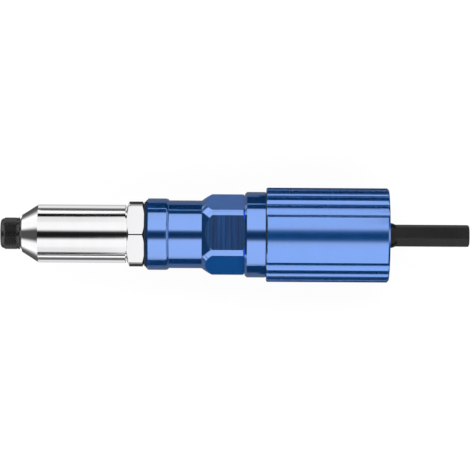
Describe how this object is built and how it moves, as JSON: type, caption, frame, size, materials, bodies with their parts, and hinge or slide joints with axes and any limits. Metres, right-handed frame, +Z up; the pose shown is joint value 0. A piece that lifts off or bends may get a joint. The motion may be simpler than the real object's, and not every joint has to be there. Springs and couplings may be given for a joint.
{
  "type": "drill powered blind rivet head",
  "caption": "Blind rivet puller for a power drill: knurled nosepiece, chromed tapered head, blue body with fluted grip sleeve, and a hexagonal drive shank that draws sliding jaws back.",
  "frame": {"origin": "centre of the nose face, on the tool's axis", "axes": "+X along the tool's axis from the nose to the drive shank, +Z up through the middle of the side that is seen, +Y to the right of someone who looks from the shank towards the nose"},
  "size_m": [0.15, 0.0302, 0.0302],
  "materials": {
    "black_steel": "black oxide",
    "chrome": "polished",
    "blue_aluminium": "blue anodised",
    "rubber": "matt",
    "bumper_plastic": "matt",
    "steel": "turned",
    "hard_steel": "hardened",
    "bearing_steel": "ground",
    "spring_steel": "drawn wire",
    "bronze": "sintered",
    "cage_brass": "stamped"
  },
  "bodies": {
    "housing": {"head": "chrome", "front_gasket": "rubber", "front_body": "blue_aluminium", "rear_gasket": "rubber", "grip_sleeve": "blue_aluminium", "rear_bush": "bronze", "back_washer": "bronze", "shank_seal": "rubber", "buffer_ring": "bumper_plastic", "guide_keys": "steel", "fixed_washer": "bearing_steel"},
    "nosepiece": {"nosepiece": "black_steel"},
    "spindle": {"spindle": "black_steel", "turning_washer": "bearing_steel"},
    "bearing": {"bearing_cage": "cage_brass", "bearing_balls": "bearing_steel"},
    "carriage": {"carriage": "steel", "lock_nut": "steel", "jaw_case": "steel", "pusher_spring": "spring_steel"},
    "pusher": {"jaw_pusher": "steel"},
    "jaw_1": {"jaw_1": "hard_steel"},
    "jaw_2": {"jaw_2": "hard_steel"},
    "jaw_3": {"jaw_3": "hard_steel"}
  },
  "joints": [
    {"name": "spindle_turn", "type": "hinge", "parent": "housing", "child": "spindle", "pos_m": [0.1049, 0, 0], "axis": [-1, 0, 0], "range_deg": [0, 2160]},
    {"name": "bearing_turn", "type": "hinge", "parent": "housing", "child": "bearing", "pos_m": [0.1004, 0, 0], "axis": [-1, 0, 0], "range_deg": [0, 1080]},
    {"name": "carriage_slide", "type": "slide", "parent": "housing", "child": "carriage", "axis": [1, 0, 0], "range_m": [0, 0.012]},
    {"name": "pusher_slide", "type": "slide", "parent": "carriage", "child": "pusher", "axis": [-1, 0, 0], "range_m": [0, 0.00392], "deforming": ["pusher_spring"]},
    {"name": "jaw_1_slide", "type": "slide", "parent": "carriage", "child": "jaw_1", "axis": [-0.9816, 0, -0.1908], "range_m": [0, 0.0045]},
    {"name": "jaw_2_slide", "type": "slide", "parent": "carriage", "child": "jaw_2", "axis": [-0.9816, 0.1652, 0.0954], "range_m": [0, 0.0045]},
    {"name": "jaw_3_slide", "type": "slide", "parent": "carriage", "child": "jaw_3", "axis": [-0.9816, -0.1652, 0.0954], "range_m": [0, 0.0045]},
    {"name": "nosepiece_out", "type": "slide", "parent": "housing", "child": "nosepiece", "axis": [-1, 0, 0], "range_m": [0, 0.02]}
  ],
  "couplings": [
    {"joint": "spindle_turn", "follows": "carriage_slide", "rad_per_m": 3141.6},
    {"joint": "bearing_turn", "follows": "carriage_slide", "rad_per_m": 1570.8},
    {"joint": "pusher_slide", "follows": "carriage_slide", "ratio": 0.32675},
    {"joint": "jaw_1_slide", "follows": "carriage_slide", "ratio": 0.37499},
    {"joint": "jaw_2_slide", "follows": "carriage_slide", "ratio": 0.37499},
    {"joint": "jaw_3_slide", "follows": "carriage_slide", "ratio": 0.37499}
  ]
}
